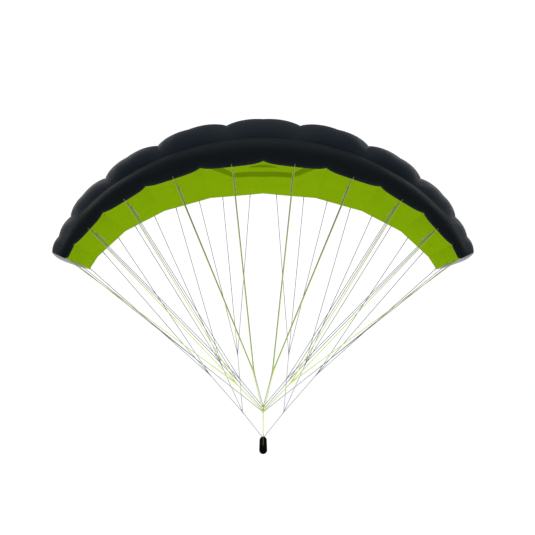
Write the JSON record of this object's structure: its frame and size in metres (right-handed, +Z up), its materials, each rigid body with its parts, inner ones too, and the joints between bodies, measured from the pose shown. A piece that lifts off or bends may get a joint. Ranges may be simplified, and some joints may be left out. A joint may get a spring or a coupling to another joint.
{
  "type": "parawing",
  "caption": "Inflated double-skin parawing: an arched fabric canopy with bulging bays on branching lines that gather to a short hand-held control bar.",
  "frame": {"origin": "middle of the control bar, on its axis, where a hand holds it", "axes": "+X across the span, +Y from the nose to the trailing edge and along the bar, +Z up from the bar to the canopy"},
  "size_m": [2.4052, 1.0202, 1.8609],
  "materials": {
    "upper_cloth": "smooth coated ripstop, dark navy",
    "nose_cloth": "smooth coated ripstop, black",
    "lower_cloth": "smooth coated ripstop, lime green",
    "tip_cloth": "smooth coated ripstop, light grey",
    "rib_cloth": "stiff coated ripstop, white",
    "green_line": "braided line, yellow-green",
    "grey_line": "braided line, grey",
    "grip_foam": "matt foam sleeve, black",
    "cap_rubber": "smooth moulded rubber, black"
  },
  "bodies": {
    "root": {"bar_cap_front": "cap_rubber", "bar_cap_rear": "cap_rubber", "bar_grip": "grip_foam", "brake_lines_left": "grey_line", "brake_lines_right": "grey_line", "front_lines_left": "green_line", "front_lines_right": "green_line", "leader_line": "green_line", "lower_left_1": "lower_cloth", "lower_left_2": "lower_cloth", "lower_left_3": "lower_cloth", "lower_left_4": "lower_cloth", "lower_left_5": "lower_cloth", "lower_right_1": "lower_cloth", "lower_right_2": "lower_cloth", "lower_right_3": "lower_cloth", "lower_right_4": "lower_cloth", "lower_right_5": "lower_cloth", "middle_lines": "grey_line", "nose_left_1": "nose_cloth", "nose_left_2": "nose_cloth", "nose_left_3": "nose_cloth", "nose_left_4": "nose_cloth", "nose_middle": "nose_cloth", "nose_right_1": "nose_cloth", "nose_right_2": "nose_cloth", "nose_right_3": "nose_cloth", "nose_right_4": "nose_cloth", "rib_left_1": "rib_cloth", "rib_left_2": "rib_cloth", "rib_left_3": "rib_cloth", "rib_left_4": "rib_cloth", "rib_left_5": "rib_cloth", "rib_left_6": "rib_cloth", "rib_left_7": "rib_cloth", "rib_left_8": "rib_cloth", "rib_middle": "rib_cloth", "rib_right_1": "rib_cloth", "rib_right_2": "rib_cloth", "rib_right_3": "rib_cloth", "rib_right_4": "rib_cloth", "rib_right_5": "rib_cloth", "rib_right_6": "rib_cloth", "rib_right_7": "rib_cloth", "rib_right_8": "rib_cloth", "tip_left": "tip_cloth", "tip_lines_left": "grey_line", "tip_lines_right": "grey_line", "tip_right": "tip_cloth", "upper_left_1": "upper_cloth", "upper_left_2": "upper_cloth", "upper_left_3": "upper_cloth", "upper_left_4": "upper_cloth", "upper_middle": "upper_cloth", "upper_right_1": "upper_cloth", "upper_right_2": "upper_cloth", "upper_right_3": "upper_cloth", "upper_right_4": "upper_cloth"}
  },
  "joints": []
}
